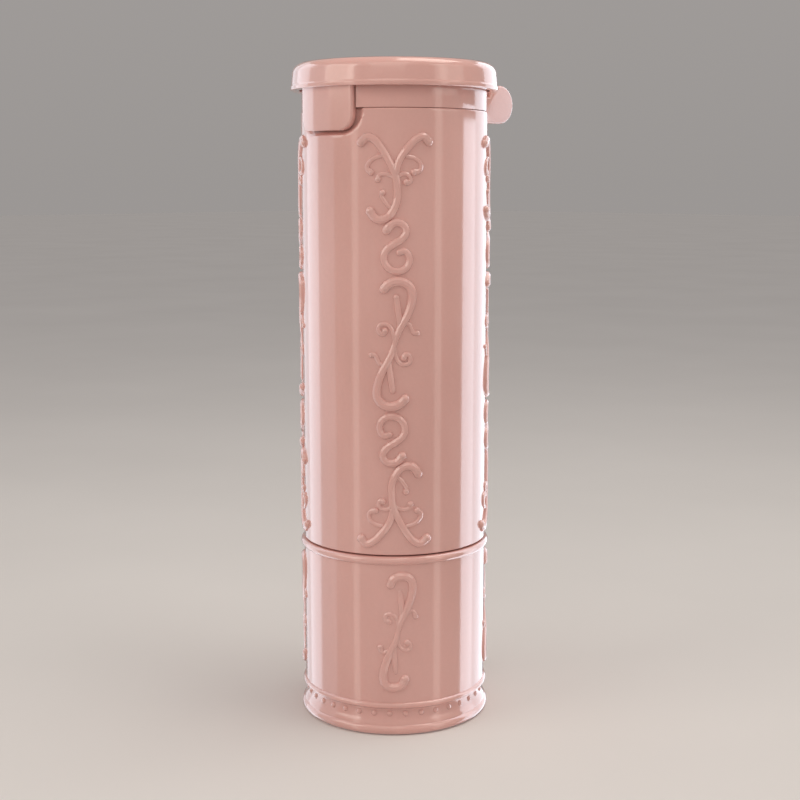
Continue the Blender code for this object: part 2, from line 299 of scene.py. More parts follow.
# %% Inner plastic
def mechanism_plastic():
    finish = Finish("white_mechanism_plastic")
    grain = finish.noise(0.18, 3.0)
    patches = finish.noise(4.0, 2.0)
    finish.set(
        Base_Color=finish.blend(finish.range(patches, 0.35, 0.65), (0.83, 0.78, 0.75), (0.90, 0.86, 0.84)),
        Roughness=finish.range(grain, 0.3, 0.7, 0.34, 0.46),
        Subsurface_Weight=0.10,
        Subsurface_Scale=mm(1.0),
    )
    finish.relief(grain, 0.02, 0.4)
    return finish.material


MECHANISM = mechanism_plastic()
print("made", MECHANISM.name)

# %% [markdown]
# ## The lipstick
#
# A lipstick is cast in a polished mould from pigment in wax. Its skin is satin, the pigment is never
# perfectly even, and the wax lets a little light in. The colour is mixed from two reds by a soft
# noise, and a very fine grain in the bump keeps the highlight from looking like glass.

# %% Lipstick wax
def lipstick_wax():
    finish = Finish("rose_red_wax")
    pigment = finish.noise(1.6, 4.0)
    grain = finish.noise(0.12, 2.0)
    finish.set(
        Base_Color=finish.blend(finish.range(pigment, 0.3, 0.7), (0.50, 0.040, 0.066), (0.56, 0.052, 0.078)),
        Roughness=finish.range(grain, 0.3, 0.7, 0.33, 0.47),
        Subsurface_Weight=0.25,
        Subsurface_Scale=mm(1.2),
        Subsurface_Radius=(1.0, 0.25, 0.2),
    )
    finish.relief(pigment * 0.5 + grain * 0.5, 0.03, 0.4)
    return finish.material


WAX = lipstick_wax()
print("made", WAX.name)

# %% [markdown]
# ## Steel and rubber
#
# The hinge pin and the weight in the base are bare steel. The pin is polished along its length, so
# its fine marks run along it, and a noise that is stretched along X gives such marks. The friction
# ring is matt black rubber with a dusty bloom.

# %% Steel and rubber
def turned_steel():
    finish = Finish("turned_steel")
    marks = finish.noise(0.10, 2.0, stretch=(0.15, 1.0, 1.0))
    stain = finish.noise(2.5, 3.0)
    finish.set(
        Base_Color=finish.blend(finish.range(stain, 0.35, 0.65), (0.50, 0.50, 0.51), (0.62, 0.62, 0.63)),
        Metallic=1.0,
        Roughness=finish.range(marks, 0.3, 0.7, 0.22, 0.40),
    )
    finish.relief(marks, 0.01, 0.5)
    return finish.material


def ring_rubber():
    finish = Finish("black_ring_rubber")
    bloom = finish.noise(0.8, 4.0)
    finish.set(
        Base_Color=finish.blend(finish.range(bloom, 0.4, 0.7), (0.018, 0.018, 0.019), (0.05, 0.05, 0.052)),
        Roughness=finish.range(bloom, 0.3, 0.7, 0.62, 0.82),
    )
    finish.relief(bloom, 0.02, 0.5)
    return finish.material


STEEL = turned_steel()
RUBBER = ring_rubber()
print("made", STEEL.name, "and", RUBBER.name)

# %% [markdown]
# ## From a drawn outline to a turned part
#
# Nearly every part of a round case is a turned shape: half of its section, spun about the axis. An
# outline here is a list of (radius, height) points that runs from the outside top, down the outside,
# and back up the inside. Corners are rounded in the outline itself by `rounded`, which swaps a sharp
# corner for a short arc. That gives clean, even faces, where a Bevel modifier on a spun part would
# have to guess.

# %% Outline helpers
def arc(centre, radius, start, end, steps):
    """Points of a round stretch; angles in degrees, 0 pointing outwards and 90 up."""
    turns = [math.radians(start + (end - start) * i / steps) for i in range(steps + 1)]
    return [(centre[0] + radius * math.cos(a), centre[1] + radius * math.sin(a)) for a in turns]


def rounded(corners, steps=6):
    """Replace each (r, z, rounding) corner by an arc that touches both of its sides."""
    points = []
    count = len(corners)
    for i, (r, z, rounding) in enumerate(corners):
        here = Vector((r, z))
        if rounding == 0:
            points.append((r, z))
            continue
        before = (Vector(corners[i - 1][:2]) - here).normalized()
        after = (Vector(corners[(i + 1) % count][:2]) - here).normalized()
        half = before.angle(after) / 2
        reach = rounding / math.tan(half)
        start, end = here + before * reach, here + after * reach
        middle = here + (before + after).normalized() * (rounding / math.sin(half))
        first, last = start - middle, end - middle
        sweep = first.angle(last)
        side = 1 if first.cross(last) > 0 else -1
        for step in range(steps + 1):
            turn = Matrix.Rotation(side * sweep * step / steps, 2)
            points.append(tuple(middle + turn @ first))
    return points


# %% [markdown]
# ## Spinning, naming and riding
#
# `spun` turns an outline into a closed mesh. Points that lie on the axis become one shared pole, so
# that the part stays watertight there. `as_object` gives a mesh its object and its finish. `finished`
# smooths it, says which body it moves with, and hides the engineering part that it stands for. The
# last two helpers apply a modifier at once: `evaluated_mesh` swaps an object for the plain mesh that
# its modifiers make, and `combine` does that for one Boolean.

# %% Mesh helpers
SMOOTH_UP_TO = math.radians(32)


def spun(outline, steps=TURN_STEPS):
    """A closed bmesh from an (r, z) outline; a radius of 0 is a pole."""
    shape = bmesh.new()
    columns = []
    for step in range(steps):
        angle = 2 * math.pi * step / steps
        across, along = math.cos(angle), math.sin(angle)
        column = []
        for number, (r, z) in enumerate(outline):
            if abs(r) < 1e-6 and step:
                column.append(columns[0][number])
            else:
                column.append(shape.verts.new(mm(r * across, r * along, z)))
        columns.append(column)
    for here, there in zip(columns, columns[1:] + columns[:1]):
        for i in range(len(outline)):
            j = (i + 1) % len(outline)
            corners = [here[i], here[j], there[j], there[i]]
            ring = [vert for k, vert in enumerate(corners) if vert not in corners[:k]]
            if len(ring) > 2:
                shape.faces.new(ring)
    bmesh.ops.recalc_face_normals(shape, faces=shape.faces)
    return shape


def as_object(name, shape, material):
    mesh = bpy.data.meshes.new(name)
    shape.to_mesh(mesh)
    shape.free()
    mesh.materials.append(material)
    thing = bpy.data.objects.new(name, mesh)
    bpy.context.scene.collection.objects.link(thing)
    return thing


def finished(thing, body, slot, *stands_for):
    """Last steps for every piece: shading, the body it rides on and what it replaces; the slot is not used.
    """
    thing.data.shade_smooth()
    thing.data.set_sharp_from_angle(angle=SMOOTH_UP_TO)
    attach(thing, body)
    if stands_for:
        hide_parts(*stands_for)
    print(f"{thing.name}: {len(thing.data.polygons)} faces, rides on {body}")


def evaluated_mesh(thing, name):
    """The mesh with its modifiers applied, on a plain object; the first object goes away."""
    graph = bpy.context.evaluated_depsgraph_get()
    graph.update()
    mesh = bpy.data.meshes.new_from_object(thing.evaluated_get(graph))
    plain = bpy.data.objects.new(name, mesh)
    bpy.context.scene.collection.objects.link(plain)
    old = thing.data
    thing.name = name + "_source"
    plain.name = name
    bpy.data.objects.remove(thing)
    if old.users == 0:
        collection = bpy.data.meshes if isinstance(old, bpy.types.Mesh) else bpy.data.curves
        collection.remove(old)
    return plain


def combine(thing, operation, helper):
    """One exact Boolean, applied at once; the helper goes away."""
    modifier = thing.modifiers.new(operation.lower(), "BOOLEAN")
    modifier.operation = operation
    modifier.solver = "EXACT"
    modifier.object = helper
    result = evaluated_mesh(thing, thing.name)
    bpy.data.objects.remove(helper)
    return result


# %% [markdown]
# ## Building Geometry Nodes in a script
#
# Three things on this case follow a rule: the finger scoop is pressed into the sleeve by a formula,
# the scrolls are strokes wrapped round a cylinder, and the pearls sit on a circle. Geometry Nodes
# suit all three, because the rule stays visible and its sizes become named inputs. `NodeTree` is the
# geometry twin of `Finish`: it adds the named inputs, the way in and out, and the few steps that
# these trees share.

# %% A Geometry Nodes helper
class NodeTree(Graph):
    """One Geometry Nodes tree, with its named sizes."""

    def __init__(self, name):
        super().__init__(bpy.data.node_groups.new(name, "GeometryNodeTree"))
        for direction in ("INPUT", "OUTPUT"):
            self.tree.interface.new_socket("Geometry", in_out=direction, socket_type="NodeSocketGeometry")
        self.group_in = self.tree.nodes.new("NodeGroupInput")
        self.group_out = self.tree.nodes.new("NodeGroupOutput")
        self.settings = {}

    def size(self, name, value):
        """A named input of the tree, with the value that the modifier will be given."""
        kind = {float: "NodeSocketFloat", int: "NodeSocketInt"}.get(type(value), "NodeSocketMaterial")
        socket = self.tree.interface.new_socket(name, in_out="INPUT", socket_type=kind)
        self.settings[socket.identifier] = value
        return Value(self, self.group_in.outputs[name])

    def incoming(self):
        """The geometry that the modifier is given."""
        return Value(self, self.group_in.outputs["Geometry"])

    def position(self):
        """The x, y and z of each point, as three values."""
        split = self.node("ShaderNodeSeparateXYZ", sockets={0: self.node("GeometryNodeInputPosition")})
        return [Value(self, socket) for socket in split.socket.node.outputs]

    def vector(self, x, y, z):
        return self.node("ShaderNodeCombineXYZ", sockets={0: x, 1: y, 2: z})

    def round_the_axis(self, radius, angle, height):
        """A point on a circle round Z; angle 0 is at -Y."""
        return self.vector(radius * angle.maths("SINE"), radius * angle.maths("COSINE") * -1.0, height)

    def join(self, *geometries):
        joined = self.node("GeometryNodeJoinGeometry")
        for geometry in geometries:
            self.feed(joined.socket.node.inputs[0], geometry)
        return joined

    def realized(self, geometry):
        return self.node("GeometryNodeRealizeInstances", sockets={"Geometry": geometry})

    def finish_with(self, geometry, material):
        """Realize Instances, Set Material and the way out: the last three steps of every tree here."""
        sockets = {"Geometry": self.realized(geometry), "Material": material}
        self.feed(self.group_out.inputs[0], self.node("GeometryNodeSetMaterial", sockets=sockets))

    def run_on(self, thing, name):
        """Apply the tree to an object and return the plain mesh object that results."""
        modifier = thing.modifiers.new(self.tree.name, "NODES")
        modifier.node_group = self.tree
        for identifier, value in self.settings.items():
            modifier[identifier] = value
        return evaluated_mesh(thing, name)


# %% [markdown]
# ## The sleeve and its finger scoop
#
# The sleeve is the long tube in the middle. In front of the latch tongue its top edge is scooped out,
# so that a fingertip can get behind the tongue and lift it. The scoop is deepest right beside the
# tongue and rises to the wall in a soft curve, with a crisp edge where it meets the outside.
#
# The wall is turned first, with rows close together near the top. A small tree then pushes each
# outside point inwards. It asks how far the point is from a rounded rectangle on the unrolled wall,
# and makes the push a smooth step of that distance. The lower edge is nearly sharp and comes close to
# the waist ring, because the parting line of a good twist-up case is as thin as a hair.

# %% Turn the sleeve's wall
SLEEVE_FOOT = SLEEVE_BOTTOM - 0.12


def sleeve_outline():
    points = rounded([
        (WALL_R, SLEEVE_TOP, 0.22),
        (WALL_R, SLEEVE_FOOT, 0.10),
        (BORE_R, SLEEVE_FOOT, 0.1),
        (BORE_R, SLEEVE_TOP, 0.1),
    ])
    rows = []
    fine_from, fine_rows = SLEEVE_TOP - 4.2, 26
    for (r0, z0), (r1, z1) in zip(points, points[1:] + points[:1]):
        rows.append((r0, z0))
        is_long_outer_side = z0 > fine_from > z1
        if is_long_outer_side:
            rows += [(r0, z0 + (fine_from - z0) * i / fine_rows) for i in range(1, fine_rows + 1)]
    return rows


SCOOP_TURN_STEPS = 360
sleeve_blank = as_object("outer_tube_blank", spun(sleeve_outline(), SCOOP_TURN_STEPS), SHELL)
print("sleeve blank:", len(sleeve_blank.data.polygons), "faces")


# %% Press the finger scoop
def scoop_tree():
    nodes = NodeTree("finger_scoop")
    wall = nodes.size("Wall radius", mm(WALL_R))
    half_width = nodes.size("Half width", mm(5.15))
    bottom = nodes.size("Bottom height", mm(69.45))
    corner = nodes.size("Corner radius", mm(2.9))
    depth = nodes.size("Depth", mm(0.66))
    slope = nodes.size("Slope width", mm(0.8))
    material = nodes.size("Material", SHELL)
    x, y, z = nodes.position()
    radius = (x * x + y * y).maths("SQRT")
    across = x.maths("ARCTAN2", y * -1.0).maths("ABSOLUTE") * wall
    over_side = across - (half_width - corner)
    over_bottom = bottom + corner - z
    side = over_side.maths("MAXIMUM", 0.0)
    below = over_bottom.maths("MAXIMUM", 0.0)
    corner_distance = (side * side + below * below).maths("SQRT")
    flat_distance = over_side.maths("MAXIMUM", over_bottom).maths("MINIMUM", 0.0)
    distance = corner_distance + flat_distance - corner
    share = (distance * -1.0 / slope).maths("MAXIMUM", 0.0).maths("MINIMUM", 1.0)
    smooth_share = (share * (math.pi / 2)).maths("SINE")
    inside_the_wall = mm(BORE_R + 0.45)
    is_outside = radius.maths("GREATER_THAN", inside_the_wall)
    scale = smooth_share * depth * is_outside * -1.0 / radius
    offset = nodes.vector(x * scale, y * scale, 0.0)
    moved = nodes.node("GeometryNodeSetPosition", sockets={"Geometry": nodes.incoming(), "Offset": offset})
    nodes.finish_with(moved, material)
    return nodes


sleeve = scoop_tree().run_on(sleeve_blank, "outer_tube")
finished(sleeve, "body", "pink_plastic", "outer_sleeve")

# %% [markdown]
# ## The scrollwork
#
# Raised vines run down four sides of the sleeve, and a shorter one stands on each side of the base. A
# mould maker would cut them as smooth strokes with round ends. Each stroke here is a curve drawn
# flat, in millimetres across and up from the middle of its panel, with its radius at the start, in
# the middle and at the end. Where the end is thicker than the middle, the vine ends in a small ball.
# A leaf is a short stroke almost as thick as the vine.
#
# Every panel looks the same when it is turned upside down, so only its upper half is drawn. The lower
# half is the same strokes turned half way round, and a stroke that ends in the middle runs on as its
# own twin. A tree then gives every stroke its round body, lays the flat drawing on the cylinder, and
# copies it to the four sides. The vines of the base stand two degrees further round than the
# sleeve's: a base that is turned by hand seldom comes back exactly to its start.

# %% Draw the strokes
# radii of the strokes
HOOK = 0.56
THICK = 0.45
LEAF = 0.42
THIN = 0.27
NECK = 0.33
BALL = 0.56
BERRY = 0.40

# each stroke: ((start, middle, end radius), control points as (across, up) from the panel's middle)
END_MOTIF = [
    ((BALL, THICK, BALL), [(-3.77, 22.58), (-2.95, 23.12), (-2.19, 22.80), (-1.42, 21.87), (-0.76, 20.77),
                           (-0.21, 19.68), (0.17, 18.69), (0.33, 17.16), (0.28, 16.07), (-0.10, 15.08),
                           (-0.76, 14.26), (-1.53, 13.99), (-2.19, 14.21), (-2.73, 14.92)]),
    ((BALL, THICK, THICK), [(3.89, 22.63), (3.29, 23.18), (2.52, 22.91), (1.65, 22.08), (0.88, 21.10),
                            (0.39, 20.11), (0.17, 19.13)]),
    ((THIN, THIN, BERRY), [(-1.42, 21.04), (-2.19, 20.83), (-2.90, 20.22), (-3.06, 19.68), (-2.62, 19.24)]),
    ((THIN, THIN, BERRY), [(1.43, 20.99), (2.31, 20.77), (2.96, 20.11), (2.85, 19.46), (2.20, 19.24)]),
    ((BERRY, THIN, THIN), [(-1.86, 18.47), (-1.75, 18.85), (-1.09, 19.07), (-0.43, 18.91), (0.10, 18.60)]),
    ((THIN, THIN, BERRY), [(0.30, 18.80), (1.21, 19.07), (1.76, 18.69), (1.70, 18.14), (1.32, 18.14)]),
    ((BERRY, THIN, THIN), [(-1.31, 16.99), (-1.42, 16.72), (-1.09, 16.06), (-0.65, 15.52), (-0.10, 15.19)]),
]
S_MOTIF = [
    ((BALL, THICK, BERRY), [(-0.87, 12.84), (-0.43, 13.38), (0.33, 13.66), (1.10, 13.33), (1.32, 12.67),
                            (0.88, 11.91), (-0.10, 11.25), (-0.98, 10.49), (-1.20, 9.72), (-0.87, 8.84),
                            (0.01, 8.29), (0.99, 8.40), (1.65, 9.17), (1.59, 10.05), (1.10, 10.49),
                            (0.55, 10.35)]),
]
MIDDLE_MOTIF = [
    ((BALL, HOOK, NECK), [(-1.20, 6.25), (-0.57, 6.85), (0.31, 7.12), (1.20, 6.93), (1.82, 6.36),
                          (2.02, 5.58), (1.85, 4.42), (1.43, 3.28), (0.82, 2.15), (0.31, 1.03), (0.0, 0.0)]),
    ((0.38, LEAF, THIN), [(0.22, 5.30), (0.40, 3.95), (0.58, 2.62), (0.62, 1.60)]),
    ((THIN, THIN, BERRY), [(0.0, 0.33), (-0.19, 1.42), (-0.57, 2.08), (-1.23, 2.30), (-1.77, 1.97),
                           (-1.66, 1.31), (-1.23, 1.20), (-1.06, 1.53)]),
    ((THIN, THIN, 0.32), [(1.15, 2.40), (1.62, 2.28), (1.95, 1.75), (2.20, 1.28), (2.62, 1.25)]),
]
BASE_HALF = [
    ((HOOK, HOOK, NECK), [(-0.83, 5.69), (-0.50, 6.35), (0.38, 6.68), (1.36, 6.40), (1.69, 5.58),
                          (1.58, 4.38), (1.10, 2.95), (0.62, 1.86), (0.22, 0.95), (0.0, 0.0)]),
    ((0.28, LEAF, THIN), [(0.25, 4.85), (0.38, 3.70), (0.44, 2.70), (0.36, 1.80)]),
    ((THIN, THIN, BERRY), [(0.0, 0.55), (-0.17, 1.64), (-0.72, 2.14), (-1.38, 2.03), (-1.43, 1.53),
                           (-1.05, 1.26)]),
    ((THIN, THIN, BERRY), [(1.20, 2.30), (1.75, 2.45), (2.05, 1.85)]),
]
UPPER_HALF = END_MOTIF + S_MOTIF + MIDDLE_MOTIF
print("strokes in half a long panel:", len(UPPER_HALF))

# %% [markdown]
# ## Round strokes from control points
#
# A smooth curve has to pass through every control point. Blender's Bezier handles set to AUTO do
# that, and the radius stored on each point becomes the thickness of the stroke there. A high power of
# the distance along the stroke keeps the start radius close to the start, and a lower power lets the
# end radius come in gradually, as a vine thickens into its hook or thins towards its crossing.

# %% Make the curve object of a panel
def stroke_radii(start, middle, end, count):
    shares = [i / (count - 1) for i in range(count)]
    return [middle + (start - middle) * (1 - t) ** 10 + (end - middle) * t ** 4 for t in shares]


def add_stroke(curve, points, radii):
    spline = curve.splines.new("BEZIER")
    spline.bezier_points.add(len(points) - 1)
    for target, (across, up), radius in zip(spline.bezier_points, points, radii):
        target.co = mm(across, up, 0)
        target.handle_left_type = target.handle_right_type = "AUTO"
        target.radius = mm(radius)


def panel_drawing(name, strokes):
    """A flat curve object with the strokes and the same strokes turned half way round."""
    curve = bpy.data.curves.new(name, "CURVE")
    curve.dimensions = "3D"
    curve.resolution_u = 7
    for ends, points in strokes:
        radii = stroke_radii(*ends, len(points))
        twin = [(-across, -up) for across, up in points]
        if points[-1] == (0.0, 0.0):
            add_stroke(curve, points + twin[-2::-1], radii + radii[-2::-1])
        else:
            add_stroke(curve, points, radii)
            add_stroke(curve, twin, radii)
    thing = bpy.data.objects.new(name, curve)
    bpy.context.scene.collection.objects.link(thing)
    return thing


# %% The tree that wraps a drawing round the case
def scroll_tree(name, radius, middle_height, first_angle):
    nodes = NodeTree(name)
    wall = nodes.size("Wall radius", mm(radius))
    middle = nodes.size("Middle height", mm(middle_height))
    flatten = nodes.size("Flatten", 0.96)
    sunk = nodes.size("Sunk", mm(0.04))
    sides = nodes.size("Sides", 4)
    start = nodes.size("First angle", math.radians(first_angle))
    material = nodes.size("Material", SHELL)
    drawing = nodes.incoming()
    stroke_radius = nodes.node("GeometryNodeInputRadius")
    profile = nodes.node("GeometryNodeCurvePrimitiveCircle", sockets={"Resolution": 10, "Radius": 1.0})
    bodies = nodes.node("GeometryNodeCurveToMesh", sockets={
        "Curve": drawing, "Profile Curve": profile, "Scale": stroke_radius, "Fill Caps": True})
    bead = nodes.node("GeometryNodeMeshUVSphere", sockets={"Segments": 14, "Rings": 9, "Radius": 1.0})
    is_end = nodes.node("GeometryNodeCurveEndpointSelection")
    round_ends = nodes.node("GeometryNodeInstanceOnPoints", sockets={
        "Points": drawing, "Selection": is_end, "Instance": bead, "Scale": stroke_radius})
    panel = nodes.join(bodies, nodes.realized(round_ends))
    across, up, height = nodes.position()
    lifted = wall + (height * flatten - sunk)
    wrapped = nodes.round_the_axis(lifted, across / wall, up + middle)
    laid = nodes.node("GeometryNodeSetPosition", sockets={"Geometry": panel, "Position": wrapped})
    turn = nodes.vector(0.0, 0.0, nodes.node("GeometryNodeInputIndex") * (2 * math.pi / sides) + start)
    points = nodes.node("GeometryNodePoints", sockets={"Count": sides})
    copies = nodes.node("GeometryNodeInstanceOnPoints", sockets={
        "Points": points, "Instance": laid, "Rotation": turn})
    nodes.finish_with(copies, material)
    return nodes


SLEEVE_MIDDLE = 46.1
BASE_MIDDLE = 12.45
PANEL_ANGLE = 45.0
BASE_PANEL_ANGLE = 47.0
sleeve_drawing = panel_drawing("sleeve_vines_drawing", UPPER_HALF)
wrap_sleeve = scroll_tree("wrap_sleeve_vines", WALL_R, SLEEVE_MIDDLE, PANEL_ANGLE)
sleeve_vines = wrap_sleeve.run_on(sleeve_drawing, "sleeve_vines")
finished(sleeve_vines, "body", "pink_plastic")
base_drawing = panel_drawing("base_vines_drawing", BASE_HALF)
wrap_base = scroll_tree("wrap_base_vines", BASE_WALL_R, BASE_MIDDLE, BASE_PANEL_ANGLE)
base_vines = wrap_base.run_on(base_drawing, "base_vines")
finished(base_vines, "base", "pink_plastic")

# %% [markdown]
# ## The turning base
#
# The base is the grip that is twisted. From the top it has a half-round waist ring, a plain wall, a
# thin bead, a hollow band that holds the pearls, and a rounded foot. All of it is one outline. The
# hollow band is a shallow groove between the bead and the foot, which is why the pearls there
# catch the light on their own.

# %% Turn the base shell
RING_TUBE = 0.48
FOOT_BEAD_TUBE = 0.35
FOOT_BEAD_HEIGHT = 3.55
FOOT_ROUNDING = 0.62


def base_outline():
    ring = arc((BASE_WALL_R, RING_TOP - RING_TUBE), RING_TUBE, 90, -78, 12)
    bead = arc((BASE_WALL_R - 0.02, FOOT_BEAD_HEIGHT), FOOT_BEAD_TUBE, 78, -90, 10)
    hollow = ((-0.22, 3.05), (-0.27, 2.7), (-0.22, 2.2), (-0.05, 1.75), (0.12, 1.5))
    band = [(BASE_WALL_R + step, height) for step, height in hollow]
    foot = arc((FLANGE_R - FOOT_ROUNDING, FOOT_ROUNDING), FOOT_ROUNDING, 58, -90, 10)
    inside = [(BORE_R + 0.12, 0.0), (BORE_R, 0.12), (BORE_R, RING_TOP - 0.1), (BORE_R + 0.1, RING_TOP)]
    return ring + bead + band + foot + inside


base_grip = as_object("base_grip", spun(base_outline()), SHELL)
finished(base_grip, "base", "pink_plastic", "base_shell")

# %% [markdown]
# ## The row of pearls
#
# Thirty-six half-round pearls sit in the hollow band. They are all alike, so one small sphere is
# enough, and a tree puts a copy at each point of a circle. The sphere has few faces, because it is
# repeated, and smooth shading hides that at its size.

# %% Pearls on a circle
def pearl_tree():
    nodes = NodeTree("pearl_row")
    count = nodes.size("Count", 36)
    ring_radius = nodes.size("Ring radius", mm(BASE_WALL_R - 0.42))
    height = nodes.size("Height", mm(2.46))
    pearl_radius = nodes.size("Pearl radius", mm(0.40))
    start = nodes.size("First angle", math.radians(2.0))
    material = nodes.size("Material", SHELL)
    pearl = nodes.node("GeometryNodeMeshUVSphere", sockets={
        "Segments": 14, "Rings": 8, "Radius": pearl_radius})
    angle = nodes.node("GeometryNodeInputIndex") * (2 * math.pi / count) + start
    spot = nodes.round_the_axis(ring_radius, angle, height)
    points = nodes.node("GeometryNodePoints", sockets={"Count": count})
    placed = nodes.node("GeometryNodeSetPosition", sockets={"Geometry": points, "Position": spot})
    copies = nodes.node("GeometryNodeInstanceOnPoints", sockets={"Points": placed, "Instance": pearl})
    nodes.finish_with(copies, material)
    return nodes


empty_mesh = bpy.data.objects.new("pearl_start", bpy.data.meshes.new("pearl_start"))
bpy.context.scene.collection.objects.link(empty_mesh)
pearls = pearl_tree().run_on(empty_mesh, "pearl_row")
finished(pearls, "base", "pink_plastic")

# %% [markdown]
# ## The plug under the base
#
# A disc closes the base from below. It has a small chamfer, a shallow dished centre so that the case
# stands on its rim and never rocks, and a gate mark in the middle where the plastic entered the
# mould.

# %% Turn the plug
def plug_outline():
    plug_r = radius_of("base_plug")
    top = top_of("base_plug")
    chamfer = 0.15
    dish_depth = 0.35
    gate_r, gate_height = 0.9, dish_depth - 0.15
    return [
        (0.0, top),
        (plug_r - chamfer, top),
        (plug_r, top - chamfer),
        (plug_r, chamfer),
        (plug_r - chamfer, 0.0),
        (plug_r - 1.1, 0.0),
        (plug_r - 1.5, dish_depth),
        (gate_r + 0.1, dish_depth),
        (gate_r, gate_height),
        (0.0, gate_height),
    ]


plug = as_object("underside_plug", spun(plug_outline()), SHELL)
finished(plug, "base", "pink_plastic", "base_plug")

# %% [markdown]
# ## The neck collar and its hinge lugs
#
# The collar closes the top of the sleeve, guides the mechanism and carries the two outer lugs of the
# hinge. It is a turned ring with a D-shaped lug on each side of the lid's knuckle. The lugs are made
# as short prisms whose edges are bevelled while they are still separate, because a bevel along a
# Boolean seam is hard to control.

# %% Solid helpers for the hinge
def prism_along_x(name, outline, x_start, x_end, rounding=0.0):
    """Extrude a (y, z) outline along X, and round its two end faces."""
    shape = bmesh.new()
    face = shape.faces.new([shape.verts.new(mm(x_start, y, z)) for y, z in outline])
    grown = bmesh.ops.extrude_face_region(shape, geom=[face])
    moved = [item for item in grown["geom"] if isinstance(item, bmesh.types.BMVert)]
    bmesh.ops.translate(shape, verts=moved, vec=mm(x_end - x_start, 0, 0))
    if rounding:
        ends = [edge for edge in shape.edges if abs(edge.verts[0].co.x - edge.verts[1].co.x) < 1e-9]
        bmesh.ops.bevel(shape, geom=ends, offset=mm(rounding), segments=4, profile=0.5, affect="EDGES")
    bmesh.ops.recalc_face_normals(shape, faces=shape.faces)
    return as_object(name, shape, SHELL)


def rod_along_x(name, radius, x_start, x_end, steps=48):
    circle = arc((HINGE_Y, HINGE_Z), radius, 0, 360 - 360 / steps, steps - 1)
    return prism_along_x(name, circle, x_start, x_end)


def sector_block(name, inner, outer, bottom, top, half_angle, steps=24):
    """A curved block centred on -Y, used as a cutter."""
    shape = bmesh.new()
    columns = []
    for step in range(steps + 1):
        angle = -half_angle + 2 * half_angle * step / steps
        section = [(outer, top), (outer, bottom), (inner, bottom), (inner, top)]
        across, along = math.sin(angle), -math.cos(angle)
        columns.append([shape.verts.new(mm(r * across, r * along, z)) for r, z in section])
    for here, there in zip(columns, columns[1:]):
        for i in range(4):
            j = (i + 1) % 4
            shape.faces.new((here[i], here[j], there[j], there[i]))
    shape.faces.new(columns[0])
    shape.faces.new(columns[-1])
    bmesh.ops.recalc_face_normals(shape, faces=shape.faces)
    return as_object(name, shape, SHELL)


def room_below(name, radius, top, bottom=60):
    """A plain cylinder up to a height, used as a cutter."""
    return as_object(name, spun([(0, top), (radius, top), (radius, bottom), (0, bottom)], 96), SHELL)


# %% Shape the collar
PAST = 1.0  # how far a cutter stands past what it cuts
COLLAR_FOOT = SLEEVE_TOP + 0.04
POCKET_FLOOR_R = 10.35
PIN_HOLE_END = 4.3
TONGUE_SIDE_GAP = math.radians(0.7)
LUG_INNER_X = KNUCKLE_HALF + GAP


def collar_outline():
    spigot_r, spigot_inner_r, spigot_bottom = 9.75, 9.1, 64.0
    plate, bore = 72.2, 7.6
    return rounded([
        (COLLAR_R, COLLAR_TOP, 0.15),
        (COLLAR_R, COLLAR_FOOT, 0.04),
        (spigot_r, COLLAR_FOOT, 0.0),
        (spigot_r, spigot_bottom, 0.1),
        (spigot_inner_r, spigot_bottom, 0.0),
        (spigot_inner_r, plate, 0.0),
        (bore, plate, 0.0),
        (bore, COLLAR_TOP, 0.1),
    ], steps=4)


def lug_outline():
    web_inner_y, web_top = 9.0, 74.5
    meet = math.degrees(math.asin((web_top - HINGE_Z) / BARREL_R))
    heel = 1.0
    bottom = HINGE_Z - BARREL_R
    round_end = arc((HINGE_Y, HINGE_Z), BARREL_R, -90, 180 - meet, 28)
    return [(web_inner_y, bottom), (HINGE_Y - heel, bottom), *round_end, (web_inner_y, web_top)]


collar = as_object("collar", spun(collar_outline()), SHELL)
for side in (-1, 1):
    ends = sorted((side * LUG_INNER_X, side * BARREL_HALF))
    lug = prism_along_x("lug", lug_outline(), *ends, rounding=0.32)
    clearance = room_below("clearance", WALL_R + 0.2, SLEEVE_TOP + GAP / 2)
    collar = combine(collar, "UNION", combine(lug, "DIFFERENCE", clearance))
pocket = sector_block("pocket", POCKET_FLOOR_R, WALL_R + PAST, COLLAR_FOOT - 0.1, COLLAR_TOP + PAST,
                      TONGUE_HALF_ANGLE + TONGUE_SIDE_GAP)
collar = combine(collar, "DIFFERENCE", pocket)
collar = combine(collar, "DIFFERENCE", rod_along_x("knuckle_room", BARREL_R + GAP, -LUG_INNER_X, LUG_INNER_X))
collar = combine(collar, "DIFFERENCE", rod_along_x("pin_hole", PIN_HOLE_R, -BARREL_HALF - PAST, PIN_HOLE_END))
finished(collar, "body", "pink_plastic", "neck_collar")

# %% [markdown]
# ## The lid with its tongue and knuckle
#
# The lid is a shallow cap with a soft shoulder and a slightly domed top. Its rim ends in a narrow
# raised lip just above the collar, and the lip's crisp edge draws one thin bright line round the lid.
# Two more things belong to the same moulding: the knuckle between the collar's lugs, and the latch
# tongue in front. The tongue is a curved plate with two round lower corners. It is built flat as a
# grid of rows, wrapped on the cylinder, and its edges are rounded before it joins the lid.

